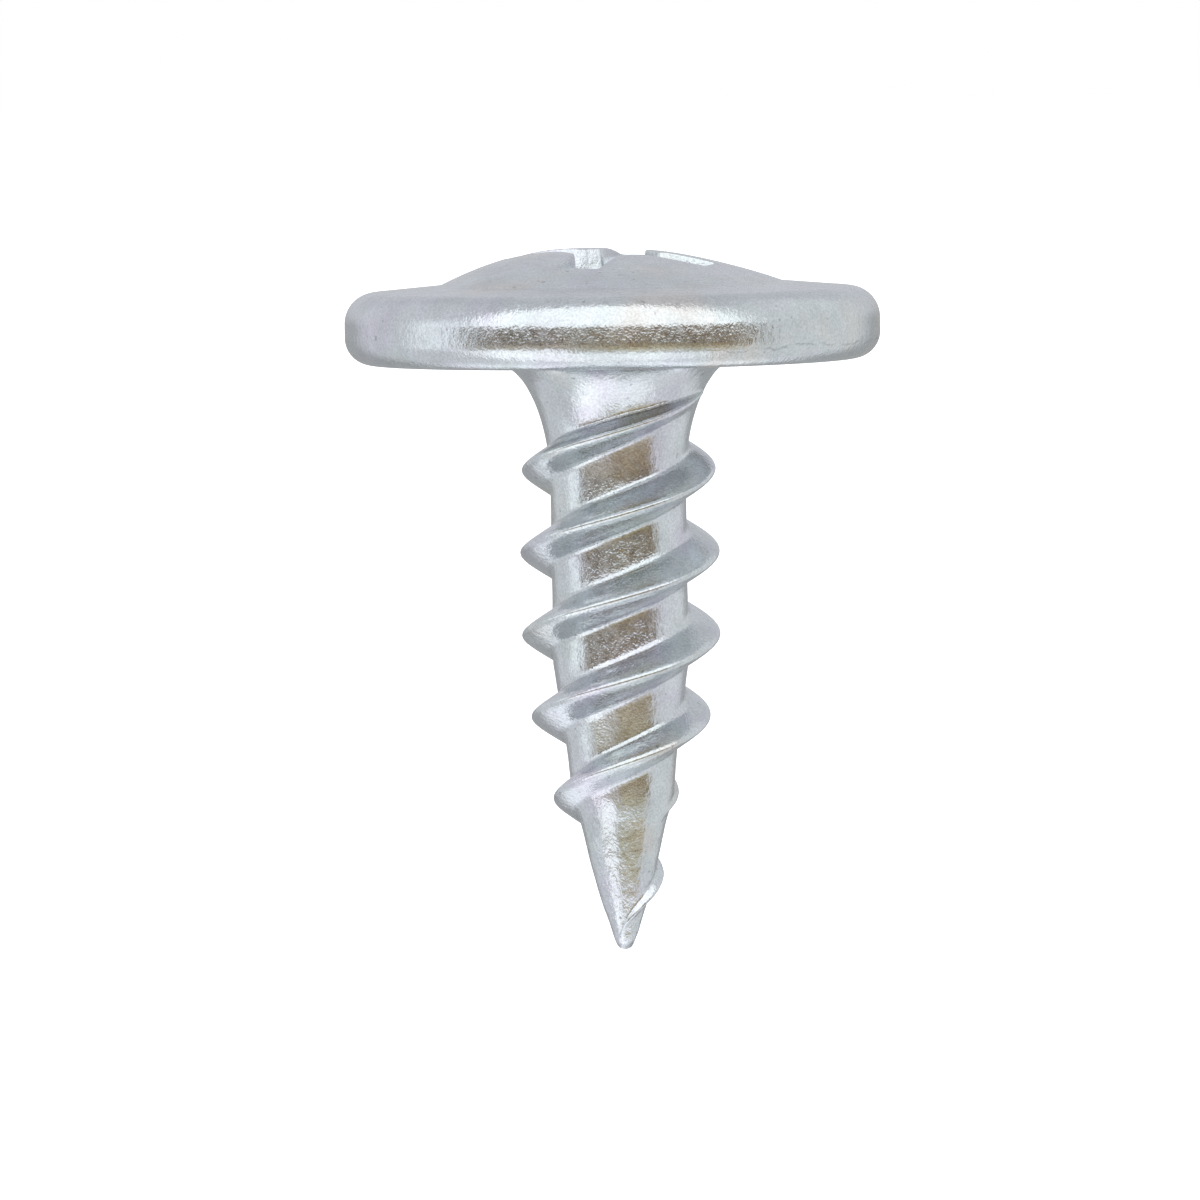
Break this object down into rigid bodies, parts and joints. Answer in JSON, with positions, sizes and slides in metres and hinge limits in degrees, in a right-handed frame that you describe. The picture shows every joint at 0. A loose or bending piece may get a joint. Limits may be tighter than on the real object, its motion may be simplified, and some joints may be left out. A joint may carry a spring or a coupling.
{
  "type": "wafer head screw",
  "caption": "Zinc-plated self-piercing screw with a wide domed wafer head, a cross recess, a flared neck, a coarse twin-start thread and a sharp needle point.",
  "frame": {"origin": "on the screw's axis, in the plane of the head's flat underside, which is the face that bears on the work", "axes": "+Z along the axis from the point towards the head; the shank points down, -Z; +X is to the right when the thread's first start leaves the neck on the right"},
  "size_m": [0.0112, 0.0112, 0.0146],
  "materials": {
    "zinc_plate": "bright zinc plate over cold-formed carbon steel: satin, finely pitted, with faint violet, green and straw tints"
  },
  "bodies": {
    "root": {"screw": "zinc_plate"}
  },
  "joints": []
}
